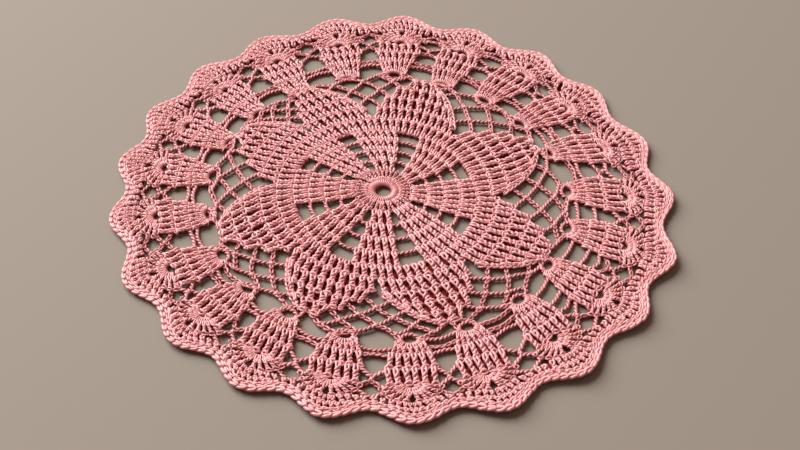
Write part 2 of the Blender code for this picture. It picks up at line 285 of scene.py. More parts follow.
def tubeParts(points, radius, sides):
    # the same for closed tubes, one along each strand
    count, samples = points.shape[:2]
    tangent = unit(np.gradient(points, axis=1), 1e-9)
    up = np.tile([0.0, 0.0, 1.0], (count, 1))
    up[np.abs(tangent[:, 0, 2]) > 0.9] = (1.0, 0.0, 0.0)
    normal = up - (up * tangent[:, 0]).sum(1, keepdims=True) * tangent[:, 0]
    normals = []
    for j in range(samples):
        normal = unit(normal - (normal * tangent[:, j]).sum(1, keepdims=True) * tangent[:, j], 1e-9)
        normals.append(normal)
    normals = np.stack(normals, 1)
    across = np.cross(tangent, normals)
    ends = np.ones(samples)
    ends[[0, -1]] = tubes["endShare"]
    swell = radius[:, None] * ends[None] * (1 + tubes["uneven"] * rng.standard_normal((count, samples)))
    turn = np.arange(sides) / sides * 2 * math.pi
    ring = (normals[:, :, None] * np.cos(turn)[None, None, :, None]
            + across[:, :, None] * np.sin(turn)[None, None, :, None])
    tube = points[:, :, None] + ring * swell[:, :, None, None]
    # height for the painted shade: a tube's underside counts lower than its middle
    high = (tube[..., 2] * (1 + tubes["roundness"]) - points[:, :, None, 2] * tubes["roundness"]).ravel()
    tube[..., 2] += liftOf(tube)
    grid = np.arange(count * samples * sides).reshape(count, samples, sides)
    beside = np.roll(grid, -1, 2)
    quads = np.stack([grid[:, :-1], beside[:, :-1], beside[:, 1:], grid[:, 1:]], -1).reshape(-1, 4)
    # uv: millimetres along the thread, and once round it
    step = np.linalg.norm(np.diff(points, axis=1), axis=2)
    along = np.concatenate([np.zeros((count, 1)), np.cumsum(step, 1)], 1) + rng.uniform(0, tubes["uvStart"], (count, 1))
    v = np.arange(sides + 1) / sides
    u0 = np.broadcast_to(along[:, :-1, None], (count, samples - 1, sides))
    u1 = np.broadcast_to(along[:, 1:, None], (count, samples - 1, sides))
    v0 = np.broadcast_to(v[:-1], u0.shape)
    v1 = np.broadcast_to(v[1:], u0.shape)
    uv = [np.stack([u0, v0, u0, v1, u1, v1, u1, v0], -1).reshape(-1, 2)]
    uv += [np.stack([np.repeat(along[:, at], sides), np.full(count * sides, 0.5)], -1) for at in (0, -1)]
    tone = np.repeat(rng.uniform(0, 1, count), samples * sides)
    return tube.reshape(-1, 3), [quads, grid[:, 0, ::-1], grid[:, -1]], np.concatenate(uv), tone, high


class Yarn:
    def __init__(self):
        self.bundles = []
        self.shadeSheets = []

    def add(self, points, radius, sides=6):
        # points: strands x samples x 3, radius: one number or one for each strand
        points = np.asarray(points, float)
        self.bundles.append((points, np.broadcast_to(np.asarray(radius, float), (len(points),)), sides))

    def addShadeSheet(self, cells, low, high):
        # painted shade: a thin closed dark plate deep between stitches, from one to the next, standing in for the shade
        # in the slits
        shadeSheets = []
        for a, b in ((cells[:-1], cells[1:]), (cells[1:], cells[:-1])):
            joined = np.abs(b[:, [0, 3]] - a[:, [1, 2]]).max((1, 2)) < 0.01
            a, b = a[joined], b[joined]
            shadeSheets.append(np.stack([a[:, 0] + a[:, 1], b[:, 0] + b[:, 1], b[:, 2] + b[:, 3], a[:, 2] + a[:, 3]], 1) / 2)
        plates = np.concatenate(shadeSheets)
        ahead, aside = plates[:, 2] - plates[:, 0], plates[:, 3] - plates[:, 1]
        turned = ahead[:, 0] * aside[:, 1] - ahead[:, 1] * aside[:, 0] < 0
        plates[turned] = plates[turned][:, ::-1]
        levels = [np.full(plates.shape[:2] + (1,), z) for z in (low, high)]
        self.shadeSheets.append(np.stack([np.concatenate([plates, level], 2) for level in levels], 1))

    def mesh(self, name):
        parts = [plateParts(shadeSheet) for shadeSheet in self.shadeSheets] + [tubeParts(*bundle) for bundle in self.bundles]
        starts = np.cumsum([0] + [len(part[0]) for part in parts])
        points, uvs, tones, highs = (np.concatenate([part[n] for part in parts]) for n in (0, 2, 3, 4))
        points[:, :2] -= middle
        points *= mm
        faces = [rows + start for part, start in zip(parts, starts) for rows in part[1]]
        sizes = np.concatenate([np.full(len(rows), rows.shape[1]) for rows in faces])
        loops = np.concatenate([rows.ravel() for rows in faces])
        mesh = bpy.data.meshes.new(name)
        mesh.vertices.add(len(points))
        mesh.vertices.foreach_set("co", points.ravel())
        mesh.loops.add(len(loops))
        mesh.loops.foreach_set("vertex_index", loops)
        mesh.polygons.add(len(sizes))
        mesh.polygons.foreach_set("loop_start", np.concatenate([[0], np.cumsum(sizes)[:-1]]))
        mesh.uv_layers.new(name="thread").data.foreach_set("uv", uvs.ravel())
        mesh.attributes.new("tone", "FLOAT", "POINT").data.foreach_set("value", tones)
        # height that sets each point's painted shade
        mesh.attributes.new("high", "FLOAT", "POINT").data.foreach_set("value", highs)
        mesh.polygons.foreach_set("use_smooth", np.ones(len(sizes), bool))
        mesh.update(calc_edges=True)
        piece = bpy.data.objects.new(name, mesh)
        bpy.context.scene.collection.objects.link(piece)
        print(f"{name}: {int((sizes - 2).sum())} triangles")
        return piece


def inCell(cells, shape, jitter=0.0, even=False):
    # cells: n x 4 x 2 (inner left, inner right, outer right, outer left); shape: k x (u, v, height)
    # even: as wide at one end of the cell as at the other
    cells, shape = np.asarray(cells, float), np.asarray(shape, float)
    v, w = shape[:, 1], shape[:, 2]
    u = np.broadcast_to(shape[:, 0], (len(cells), len(shape)))
    if even:
        ends = [np.linalg.norm(cells[:, b] - cells[:, a], axis=1)[:, None] for a, b in ((0, 1), (3, 2))]
        local = lerp(ends[0], ends[1], np.clip(v, 0, 1)[None])
        u = u * np.clip((ends[0] + ends[1]) / 2 / local, 0.6, 1.3)
    u = (u + 0.5)[..., None]
    v = v[None, :, None]
    plan = ((1 - v) * ((1 - u) * cells[:, 0, None] + u * cells[:, 1, None])
            + v * ((1 - u) * cells[:, 3, None] + u * cells[:, 2, None]))
    high = np.broadcast_to(w[None, :, None], plan.shape[:2] + (1,))
    points = np.concatenate([plan, high], 2)
    if jitter:
        points = points + rng.normal(0, jitter, points.shape) * (1, 1, 0.6)
    return points


# a tall stitch: two legs, strands wrapped round them and a head that links it to the next
trebles = {
    "thread": 0.57,
    "most": 0.19,  # of the stitch's width
    "sides": 5,
    # aside in widths, outward in heights, height in millimetres
    "leg": ((-0.05, -0.15, 0.70), (-0.15, -0.04, 2.00), (-0.22, 0.10, 2.40), (-0.21, 0.26, 2.25), (-0.13, 0.44, 1.70),
            (-0.14, 0.60, 1.80), (-0.19, 0.76, 2.10), (-0.15, 0.89, 1.95), (-0.07, 1.00, 1.05)),
    "wrap": ((-0.29, -0.17, 1.00), (-0.20, -0.10, 2.25), (-0.01, 0.02, 2.75), (0.19, 0.13, 2.35), (0.28, 0.20, 1.00)),
    "wraps": (0.38, 0.66),
    "shortWraps": (0.45,),
    "headIn": ((-0.50, 1.02, 1.10), (-0.27, 0.90, 2.15), (0.04, 0.85, 2.35), (0.34, 0.92, 2.05), (0.56, 1.07, 1.05)),
    "headOut": ((-0.52, 0.90, 1.05), (-0.30, 1.04, 1.90), (0.02, 1.13, 2.10), (0.32, 1.06, 1.80), (0.50, 0.91, 1.00)),
    "lean": (0.16, 0.04),
    "shift": 0.15,
    "jitter": 0.12,
    # low and high level of the painted shade plate under each stitch
    "shadeSheet": (0.25, 0.40),
}


def mirrored(shape):
    return tuple((-u, v, w) for u, v, w in shape)


def addTrebles(yarn, cells, wraps=trebles["wraps"]):
    t = trebles
    cells = np.array(cells, float)
    foot, head = cells[:, 1] - cells[:, 0], cells[:, 2] - cells[:, 3]
    footWide = np.linalg.norm(foot, axis=1)
    radius = np.minimum(t["thread"], t["most"] * ((footWide + np.linalg.norm(head, axis=1)) / 2))
    leans = rng.normal(*t["lean"], (len(cells), 1)) * footWide[:, None]
    way = foot / footWide[:, None]
    # dark plates of painted shade under the stitches
    yarn.addShadeSheet(cells, *t["shadeSheet"])
    cells[:, 0:2] += (way * leans)[:, None]
    cells[:, 2:4] -= (way * leans)[:, None]
    cells += rng.normal(0, t["shift"], (len(cells), 1, 2))

    def strand(shape, samples, thick, even=False):
        yarn.add(smoothed(inCell(cells, shape, t["jitter"], even), samples), radius * thick, t["sides"])

    for shape in (t["leg"], mirrored(t["leg"])):
        strand(shape, 9, 1.0, True)
    for at in wraps:
        strand([(u, v + at, w) for u, v, w in t["wrap"]], 5, 0.95, True)
    strand(t["headIn"], 5, 0.98)
    strand(t["headOut"], 5, 0.95)


# a chain from its front: links that each come out of the one before
chains = {
    "thread": 0.53,
    "half": 1.25,
    "link": 2.75,
    "height": 1.10,
    # along the link, aside, height over the chain's middle
    "loop": ((-0.22, -0.15, -0.75), (0.03, -0.70, -0.15), (0.42, -1.0, 0.30), (0.85, -0.72, 0.60), (1.07, 0.0, 0.70),
             (0.85, 0.72, 0.60), (0.42, 1.0, 0.30), (0.03, 0.70, -0.15), (-0.22, 0.15, -0.75)),
    "samples": 9,
    "depth": 1.1,
    "roll": 0.5,
    "rollUneven": 0.15,
    "reachUneven": 0.07,
    "under": 0.9,  # size and height of the strand beneath, in threads
}


def resample(path, count):
    path = np.asarray(path, float)
    step = np.linalg.norm(np.diff(path, axis=0), axis=1)
    along = np.concatenate([[0], np.cumsum(step)])
    at = np.linspace(0, along[-1], count)
    return np.stack([np.interp(at, along, path[:, c]) for c in range(path.shape[1])], -1)


def rounded(path):
    # a path with its corners rounded, and its length
    path = np.asarray(path, float)
    path = smoothed(path, 4 * len(path))[0] if len(path) > 2 else path
    return path, np.linalg.norm(np.diff(path, axis=0), axis=1).sum()


def addChain(yarn, path, size=1.0, link=None, roll=None, height=None, sides=5, half=None, thread=None):
    c = chains
    path, length = rounded(path)
    count = max(1, round(length / (link or c["link"] * size)))
    centre = resample(path, count * 4 + 1)
    centre = np.concatenate([centre, np.full((len(centre), 1), height or c["height"] * size)], 1)
    tangent = unit(np.gradient(centre, axis=0))
    side = unit(np.stack([-tangent[:, 1], tangent[:, 0], np.zeros(len(tangent))], -1))
    lift = np.cross(tangent, side)
    thread = thread or c["thread"] * size
    reach = (half or c["half"] * size) - thread
    shape = np.array(c["loop"])
    start = np.arange(count)[:, None] * 4 + shape[None, :, 0] * 4
    at = np.clip(start, 0, len(centre) - 1)
    over = (start - at) * length / (count * 4)
    low = np.floor(at).astype(int).clip(0, len(centre) - 2)
    f = (at - low)[..., None]
    place = centre[low] * (1 - f) + centre[low + 1] * f
    roll = rng.uniform(-c["roll"], c["roll"]) if roll is None else roll
    turn = roll + rng.normal(0, c["rollUneven"], (count, 1, 1))
    a = shape[None, :, 1, None] * reach * (1 + rng.normal(0, c["reachUneven"], (count, 1, 1)))
    w = shape[None, :, 2, None] * thread * c["depth"] * np.ones((count, 1, 1))
    sideways = a * np.cos(turn) - w * np.sin(turn)
    upward = a * np.sin(turn) + w * np.cos(turn)
    points = place + tangent[low] * over[..., None] + side[low] * sideways + lift[low] * upward
    points[..., 2] = np.maximum(points[..., 2], thread)
    yarn.add(smoothed(points, c["samples"]), thread, sides)
    under = centre.copy()
    under[:, 2] = thread * c["under"]
    yarn.add(resample(under, max(3, count + 1))[None], thread * c["under"], 4)


# a chain from its side: two strands wound round each other
cords = {"thread": 0.58, "reach": 0.50, "pitch": 3.9, "height": 1.2, "uneven": 0.12, "sides": 5}


def addCord(yarn, path, size=1.0):
    c = cords
    path, length = rounded(path)
    turns = length / (c["pitch"] * size)
    count = max(7, round(turns * 6) + 1)
    centre = resample(path, count)
    tangent = unit(np.gradient(centre, axis=0))
    turn = np.linspace(0, turns * 2 * math.pi, count) + rng.uniform(0, 6) + rng.normal(0, c["uneven"], count)
    strands = []
    for phase in (0.0, math.pi):
        aside = np.sin(turn + phase) * c["reach"] * size
        z = c["height"] * size + np.cos(turn + phase) * c["reach"] * size
        plan = centre + np.stack([-tangent[:, 1], tangent[:, 0]], -1) * aside[:, None]
        strands.append(np.concatenate([plan, z[:, None]], 1))
    yarn.add(strands, c["thread"] * size, c["sides"])


# the star: centre ring, ribs, windows and petals
star = {
    "ringStrands": 40,
    "ringRadii": (3.6, 3.7, 4.4, 5.4, 6.4, 7.2, 7.9),
    "ringHeights": (0.50, 1.4, 2.25, 2.6, 2.35, 1.75, 1.30),
    "ringThread": 0.37,
    "ringTwist": 3.0,
    "ringUneven": 0.4,
    "ringCore": (5.2, 1.3, 1.15),  # radius, height and thickness
    "firstRound": 36,
    "firstFoot": 7.0,
    "ribPitch": 3.1,
    "rungReach": 1.12,
    "rungSag": (0.5, 0.5, 0.5, 0.2),
    "rungDrop": 0.2,
    "petalStep": 4.25,
    "edgeLean": 3.0,
    "edgeStep": 0.2,
    "petalSteps": (0.0, 0.215, 0.43, 0.635, 0.82, 1.0),
    "tipHalf": 2.9,
    "tipOut": 1.3,
    "tipRound": 1.0,
    "bulge": 0.09,
    # each window's middle at its foot and its top, half width at its foot and its top, in degrees round the ring
    "windows": (
        (20.3, 24.1, 2.4, 7.8), (65.3, 75.3, 5.9, 7.6), (113.3, 120.8, 5.0, 5.2), (157.3, 158.2, 3.1, 5.6),
        (206.9, 204.2, 3.4, 7.5), (249.8, 247.4, 3.3, 7.0), (288.9, 288.5, 3.5, 6.7), (333.1, 332.0, 2.4, 6.8),
    ),
}


def windowSide(k, side, share):
    # side -1 to 1 across window k, share 0 at its foot to 1 at its top
    foot, top, footHalf, topHalf = star["windows"][k % len(petals)]
    return lerp(foot, top, share) + side * lerp(footHalf, topHalf, share)


def windowTop(deg):
    return carried(petals, deg % wholeTurn, "windowDeg", "top")[0]


def ribRow(deg, row):
    return lerp(chart["windowFoot"], windowTop(deg), row / chart["windowRows"])


def ringCell(inner, outer, lows, highs):
    # the two angles at a stitch's foot and at its head, and their radii
    return [aroundRing(inner[1], lows[1]), aroundRing(inner[0], lows[0]),
            aroundRing(outer[0], highs[0]), aroundRing(outer[1], highs[1])]


def petalSide(petal, notchDeg, notchRadius, radius):
    # the petal's edge from its notch to its tip, a little fuller than a straight line
    share = (radius - notchRadius) / (petal.tip + star["tipOut"] + star["tipRound"] - notchRadius)
    share = min(max(share, 0.0), 1.0)
    return lerp(notchDeg, petal.tipDeg, share - star["bulge"] * math.sin(math.pi * share ** 2))


def addRing(yarn):
    # wound ring round the eye, over a thick core
    count, samples = star["ringStrands"], len(star["ringRadii"])
    deg = (np.arange(count) / count * wholeTurn)[:, None] + np.linspace(0, star["ringTwist"], samples)[None]
    deg = deg + rng.normal(0, star["ringUneven"], (count, samples))
    plan = aroundRing(deg, np.array(star["ringRadii"])[None])
    high = np.broadcast_to(np.array(star["ringHeights"])[None, :, None], (count, samples, 1))
    yarn.add(smoothed(np.concatenate([plan, high], 2), 9), star["ringThread"], 5)
    radius, height, thick = star["ringCore"]
    circle = aroundRing(np.linspace(0, 352, 45), np.full(45, radius))
    yarn.add(np.concatenate([circle, np.full((45, 1), height)], 1)[None], thick, 10)


def addRibs(yarn):
    # ribs between the windows, up to the windows' tops
    cells = []
    rows = chart["windowRows"]
    for k, petal in enumerate(petals):
        for row in range(rows):
            ends = [(windowSide(k, 1, t), windowSide(k + 1, -1, t) + turnAfter(petals, k))
                    for t in (row / rows, (row + 1) / rows)]
            spans = ends[0][1] - ends[0][0] + ends[1][1] - ends[1][0]
            columns = max(2, round(math.radians(spans / 2) * ribRow(petal.windowDeg, row + 0.5) / star["ribPitch"]))
            inner, outer = (np.linspace(*end, columns + 1) for end in ends)
            lows, highs = [ribRow(deg, row) for deg in inner], [ribRow(deg, row + 1) for deg in outer]
            cells += [ringCell(inner[c:], outer[c:], lows[c:], highs[c:]) for c in range(columns)]
    addTrebles(yarn, cells)


def makeCentre():
    yarn = Yarn()
    addRing(yarn)
    # first round of fine stitches
    step = wholeTurn / star["firstRound"]
    pairs = [(deg, deg + step) for deg in np.arange(0, wholeTurn, step)]
    foot = star["firstFoot"]
    addTrebles(yarn, [ringCell((a, b), (a, b), (foot, foot), (ribRow(a, 0), ribRow(b, 0))) for a, b in pairs])
    addRibs(yarn)
    # rungs of the windows
    across = np.linspace(-1.0, 1.0, 5)
    for k, petal in enumerate(petals):
        for row, sag in enumerate(star["rungSag"], 1):
            deg = windowSide(k, across * star["rungReach"], row / chart["windowRows"])
            sagged = ribRow(petal.windowDeg, row) + sag * np.cos(across * math.pi / 2)
            addCord(yarn, aroundRing(deg, sagged - star["rungDrop"]))
    return yarn.mesh("centre")


centrePiece = makeCentre()


def addPetals(yarn):
    # each row of a petal steps in along the petal's edge
    cells = []
    for k in range(len(petals)):
        before, petal, turn = pairBefore(petals, k)
        rise = petal.tip + star["tipOut"] - petal.top
        radii = [petal.top + rise * s for s in star["petalSteps"]]
        for row in range(len(radii) - 1):
            low, high = radii[row], radii[row + 1]
            left0, left1 = (petalSide(petal, before.notchDeg + turn, before.notch, r) for r in (low, high))
            right0, right1 = (petalSide(petal, petal.notchDeg, petal.notch, r) for r in (low, high))
            # each row has an even number fewer columns than the one before, so they stay in line
            wanted = (right0 - left0) / star["petalStep"]
            if row == 0:
                columns = round(wanted)
            columns -= 2 * max(0, round((columns - wanted) / 2))
            step = star["edgeStep"] if row < len(radii) - 2 else 0.0
            left1 = min(lerp(left1, left0, step), petal.tipDeg - star["tipHalf"])
            right1 = max(lerp(right1, right0, step), petal.tipDeg + star["tipHalf"])
            inner = np.linspace(left0, right0, columns + 1)
            mid = (left0 + right0) / 2
            lean = np.abs((inner - mid) / (right0 - mid)) ** star["edgeLean"]
            outer = inner + lean * np.where(inner < mid, left1 - left0, right1 - right0)
            lows = [windowTop(deg) if row == 0 else low for deg in inner]
            cells += [ringCell(inner[c:], outer[c:], lows[c:], (high, high)) for c in range(columns)]
    addTrebles(yarn, cells)


# the small arches that the fans and the shells are worked on
baseArch = {"wide": 3.7, "high": 2.6, "strands": 13, "inside": 0.9, "outside": 2.1, "thread": 0.45, "closing": 2.9,
            "open": (6, 7, 8, 9, 10)}
upperArch = {"wide": 3.1, "high": 2.6, "strands": 12, "inside": 1.0, "outside": 1.9, "thread": 0.43, "drop": 2.6}
archWork = {
    "core": 0.72,
    "coreHeight": 1.0,
    "coreEnds": 0.25,  # how far the core goes past a half turn, in radians
    "fringe": 0.9,
    "angles": (2, 178),
    "angleUneven": 0.03,
    "uneven": 0.05,
    "hold": 0.2,  # how far the first stitches reach in over the arch
}


def archFrame(deg, radius):
    out = polar(deg, 1.0)
    return polar(deg, radius), np.array([-out[1], out[0]]), out


def archPoint(frameOf, wide, high, angle):
    centre, side, out = frameOf
    return centre + side * math.cos(angle) * wide + out * math.sin(angle) * high


def archEdge(arch):
    return [arch[key] + arch["outside"] - archWork["hold"] for key in ("wide", "high")]


def baseFrame(fan):
    return archFrame(fan.footDeg, fan.under + baseArch["inside"] - baseArch["high"])


def addArch(yarn, frameOf, arch):
    # strands worked close together over a loop that opens towards the doily's middle
    a = archWork
    wide, high, inside, outside = (arch[key] for key in ("wide", "high", "inside", "outside"))
    turns = np.linspace(-a["coreEnds"], math.pi + a["coreEnds"], 15)
    band = [(*archPoint(frameOf, wide, high, turn), a["coreHeight"]) for turn in turns]
    yarn.add(np.array([band]), a["core"], 7)
    profile = ((-inside, 0.55), (-inside * 0.85, 1.35), (-inside * 0.2, 2.05),
               (outside * 0.5, 2.10), (outside, 1.75), (outside + a["fringe"], 1.1))
    lines = []
    for n in range(arch["strands"]):
        share = (n + 0.5) / arch["strands"]
        angle = math.radians(lerp(*a["angles"], share)) + rng.normal(0, a["angleUneven"])
        lines.append([(*archPoint(frameOf, wide + reach, high + reach, angle), z) for reach, z in profile])
    lines = np.array(lines)
    yarn.add(smoothed(lines + rng.normal(0, a["uneven"], lines.shape), 8), arch["thread"], 5)


# the net of chains in the star's notches, down to the fans' arches
net = {
    "bow": 0.35,
    "overlap": 0.3,
    "roll": 0.45,
    "turned": (0, 1, 4, 5),  # notches whose chains show the other side
    # the chain along a petal: millimetres past notch and tip, degrees aside, height
    "edgeFrom": 3.0,
    "edgeOver": 0.3,
    "edgeAside": 0.3,
    "edgeHeight": 1.7,
    "joinBow": 0.3,
    "joinSize": 1.05,
}
knots = {
    "thread": 0.50,
    "turn": (0.3, 1.2),
    "crossing": 1.5,
    "reach": (1.25, 0.6),
    "aside": 0.25,
    "heights": (0.7, 1.8, 1.8, 0.7),
}


def addKnot(yarn, at):
    # two short strands that hold the crossing chains together
    far, near = knots["reach"]
    for turn in rng.uniform(*knots["turn"]) + np.array([0.0, knots["crossing"]]):
        way = np.array([math.cos(turn), math.sin(turn)])
        bend = np.array([-way[1], way[0]]) * knots["aside"]
        plan = [at - way * far, at - way * near + bend, at + way * near - bend, at + way * far]
        points = [(*p, h) for p, h in zip(plan, knots["heights"])]
        yarn.add(smoothed([points], 7), knots["thread"], 6)


def netEdges(k):
    # the chains of one notch from knot to knot, and whether each leans onward
    rows = chart["netRows"]
    edges = []
    for row in range(rows):
        for i in range(row + 1):
            if i > 0:
                edges.append((knot(k, i, row), knot(k, i, row + 1), False))
            if i < row:
                edges.append((knot(k, i, row), knot(k, i + 1, row + 1), True))
    for i in range(rows + 1):
        if i < rows:
            edges.append((knot(k, i, rows), knot(k, i, rows + 1), True))
        if i > 0:
            edges.append((knot(k, i, rows), knot(k, i - 1, rows + 1), False))
    return edges


def addNet(yarn):
    rows = chart["netRows"]
    for k in range(len(petals)):
        # chains that lean one way show their loops, those that lean the other way their sides
        for a, b, onward in netEdges(k):
            way = (b - a) / np.linalg.norm(b - a)
            bow = np.array([-way[1], way[0]]) * rng.normal(0, net["bow"])
            path = [a - way * net["overlap"], lerp(a, b, 0.5) + bow, b + way * net["overlap"]]
            if onward == (k in net["turned"]):
                addChain(yarn, path, roll=rng.uniform(-1, 1) * net["roll"])
            else:
                addCord(yarn, path)
        for row in range(1, rows + 1):
            for i in range(row + 1):
                if 0 < i < row or row == rows:
                    addKnot(yarn, knot(k, i, row))


def addPetalEdges(yarn):
    # a chain along one edge of each petal
    for k in range(len(petals)):
        before, petal, turn = pairBefore(petals, k)
        radii = np.linspace(before.notch + net["edgeFrom"], petal.tip + net["edgeOver"], 9)
        degs = [petalSide(petal, before.notchDeg + turn, before.notch, r) - net["edgeAside"] for r in radii]
        addChain(yarn, [aroundRing(*place) for place in zip(degs, radii)], roll=0.0, height=net["edgeHeight"])


def addJoins(yarn):
    # the last knots and the petals' tips hold the shoulders of the arches
    rows = chart["netRows"]
    joins = [knot(k, i, rows + 1) for k in range(len(petals)) for i in range(rows)]
    joins += [knot(k, 0, rows) for k in range(len(petals))]
    shoulders = [archPoint(baseFrame(fan), baseArch["wide"] * side, 0.0, 0.0) for fan in fans for side in (-1, 1)]
    apart = np.array([[np.linalg.norm(a - b) for b in shoulders] for a in joins])
    links = {(int(apart[:, n].argmin()), n) for n in range(len(shoulders))}
    links |= {(n, int(apart[n].argmin())) for n in range(len(joins) - len(petals))}
    for m, n in sorted(links):
        a, b = joins[m], shoulders[n]
        bow = lerp(a, b, 0.5) + rng.normal(0, net["joinBow"], 2)
        addChain(yarn, [a, bow, b], net["joinSize"])


def makePetalsAndNet():
    yarn = Yarn()
    addPetals(yarn)
    addNet(yarn)
    addPetalEdges(yarn)
    addJoins(yarn)
    return yarn.mesh("petals_and_net")


netPiece = makePetalsAndNet()

# the fans, gaps and scalloped rim, in three runs of seven fans
fanWork = {
    "runs": (("fans_right_back", 0), ("fans_left", 7), ("fans_front", 14)),
    "runLength": 7,
    "rows": (0.21, 0.54),
    "firstStitches": 7,
    "firstAngles": (6, 174),
    "rowColumns": 6,
    "halves": (5.6, 6.4, 5.8),
    "thirdRow": (0.93, 0.90, 0.84, 0.80, 0.84, 0.90, 0.93),
    "thirdRowDepth": 0.13,
    "closedEye": 0.085,
    "openEye": -0.03,
    "openEyes": (4, 5, 6, 7, 8, 9, 10, 11, 12),
    "closedEyes": (13, 14, 15, 16, 17),
    "shellStitches": 5,
    "shellReach": (12.4, 9.0),
    "shellLow": 4.0,
    "shellGap": 4.5,
    "borderRows": ((12, 1.0), (9, 0.74)),
    "borderSplit": ((0.0, 0.5), (0.45, 0.55), (0.78, 1.0)),
    "borderLean": 0.14,
    "borderStep": 1.29,
    "borderLeast": 2.4,
    "scallopHalf": 16.8,
    "shellEdge": 0.6,
    # braids of the rim, inset, link, half width, thread and height, at the back and at the front
    "rims": (((1.6, 3.6, 1.05, 0.66, 1.5), (1.65, 3.6, 1.65, 0.82, 1.5)),
             ((3.3, 3.2, 0.90, 0.48, 1.8), (4.0, 3.0, 1.15, 0.52, 1.9))),
    "rimTurn": 15.0,
    "rimInside": 4.2,
    "roundFrom": 0.6,  # thicker threads than this are rounder
    # where a gap's middle chains are tied, and its chains by their steps at its edges and its middle
    "backChains": (0.67, ((0.05, 0.11), (0.25, 0.20), (0.54, 0.60), (0.84, 0.74), (1.07, 1.07), (1.12, 1.28))),
    "sideChains": (0.795, ((0.05, 0.11), (0.25, 0.20), (0.61, 0.75), (0.98, 0.84), (1.10, 1.25))),
    "frontChains": (0.795, ((0.05, 0.11), (0.25, 0.20), (0.54, 0.73), (0.98, 0.84), (1.10, 1.25))),
    "rightChains": (0.82, ((-0.01, 0.01), (0.31, 0.33), (0.62, 0.78), (1.00, 0.86), (1.10, 1.25))),
    "backGaps": (0, 1, 2, 3, 4),
    "frontGaps": (13, 14, 15, 16, 17),
    "rightGaps": (18, 19, 20),
    # more chains, and the gaps that have them
    "barChain": (0.50, 0.58),
    "barGaps": (18, 19),
    "innerChain": (-0.13, -0.07),
    "innerGaps": (1, 12, 16, 17),
    "gapReach": 1.25,
    "gapBend": 1.5,
    "openChains": 0.4,  # share of the gaps' chains that show their loops
    "openSize": 0.98,
    "cordSizes": (0.95, 1.1),
}


def shellCells(frameOf):
    # two groups of columns round the arch, a little apart at the outer edge
    f = fanWork
    inner, outer, columns = archEdge(upperArch), f["shellReach"], f["shellStitches"]
    low, gap = f["shellLow"], f["shellGap"]
    cells = []
    for first, last, topFirst, topLast in ((180.0 - low, 90.0, 180.0 - low, 90.0 + gap), (90.0, low, 90.0 - gap, low)):
        ends = np.radians(np.linspace(first, last, columns + 1))
        tops = np.radians(np.linspace(topFirst, topLast, columns + 1))
        for c in range(columns):
            cells.append([archPoint(frameOf, *inner, ends[c]), archPoint(frameOf, *inner, ends[c + 1]),
                          archPoint(frameOf, *outer, tops[c + 1]), archPoint(frameOf, *outer, tops[c])])
    return cells


def rowCells(fan, lows, highs, halfLow, halfHigh):
    # lows and highs: the row's inner and outer edge, one more of each than columns
    columns = len(lows) - 1
    inner = [fanPoint(fan, lerp(halfLow, -halfLow, c / columns), step) for c, step in enumerate(lows)]
    outer = [fanPoint(fan, lerp(halfHigh, -halfHigh, c / columns), step) for c, step in enumerate(highs)]
    return [[inner[c], inner[c + 1], outer[c + 1], outer[c]] for c in range(columns)]


def fanCells(j, base):
    # a first row from the arch, then two rows of thick columns
    f = fanWork
    fan = fans[j]
    stepA, stepB = f["rows"]
    wideA, wideB, wideC = f["halves"]
    wide, high = archEdge(baseArch)
    stitches, columns = f["firstStitches"], f["rowColumns"]
    inner = [archPoint(base, wide, high, a) for a in np.radians(np.linspace(*f["firstAngles"], stitches + 1))]
    outer = [fanPoint(fan, half, stepA) for half in np.linspace(wideA, -wideA, stitches + 1)]
    cells = [[inner[c], inner[c + 1], outer[c + 1], outer[c]] for c in range(stitches)]
    cells += rowCells(fan, [stepA] * (columns + 1), [stepB] * (columns + 1), wideA, wideB)
    # the third row leaves an eye over the upper arch, more closed at the front
    more = f["closedEye"] if j in f["closedEyes"] else f["openEye"] if j in f["openEyes"] else 0.0
    highs = [step + more * (f["thirdRow"][0] - step) / f["thirdRowDepth"] for step in f["thirdRow"]]
    return cells + rowCells(fan, [stepB] * (columns + 1), highs, wideB, wideC)


def scallopDeg(j, x):
    # x from -1 to 1 between the valleys beside scallop j
    if x < 0:
        other, fan, turn = pairBefore(fans, j)
    else:
        fan, other, turn = pairAfter(fans, j)
    return lerp(fan.tipDeg, (fan.tipDeg + other.tipDeg + turn) / 2, abs(x))


def scallopRadius(j, x, level):
    # level 0 is the shell's outer edge, 1 the inside of the rim
    f = fanWork
    rim = outlineRadius(scallopDeg(j, x) % wholeTurn) - f["rimInside"]
    if level:
        return rim
    wide, high = f["shellReach"]
    bow = math.sqrt(max(0.0, 1.0 - (x * f["scallopHalf"] / (wide + f["shellEdge"])) ** 2))
    shell = fans[j].mid - upperArch["drop"] + (high + f["shellEdge"]) * bow
    return min(max(shell, fanAxis(fans[j], f["borderStep"])[1]), rim - f["borderLeast"])


def scallopCells(j):
    # a row along the whole scallop and a second one in its deep part, both spreading from the shell
    f = fanWork
    cells = []
    for row, (columns, reach) in enumerate(f["borderRows"]):
        xs = np.linspace(reach, -reach, columns + 1)

        def at(x, outer):
            split = np.interp(abs(x), *zip(*f["borderSplit"]))
            level = (split if outer else 0.0) if row == 0 else (1.0 if outer else split)
            spread = x - f["borderLean"] * math.sin(math.pi * x) * (1.0 - level)
            return polar(scallopDeg(j, spread), lerp(scallopRadius(j, spread, 0), scallopRadius(j, spread, 1), level))

        cells += [[at(a, False), at(b, False), at(b, True), at(a, True)] for a, b in zip(xs[:-1], xs[1:])]
    return cells


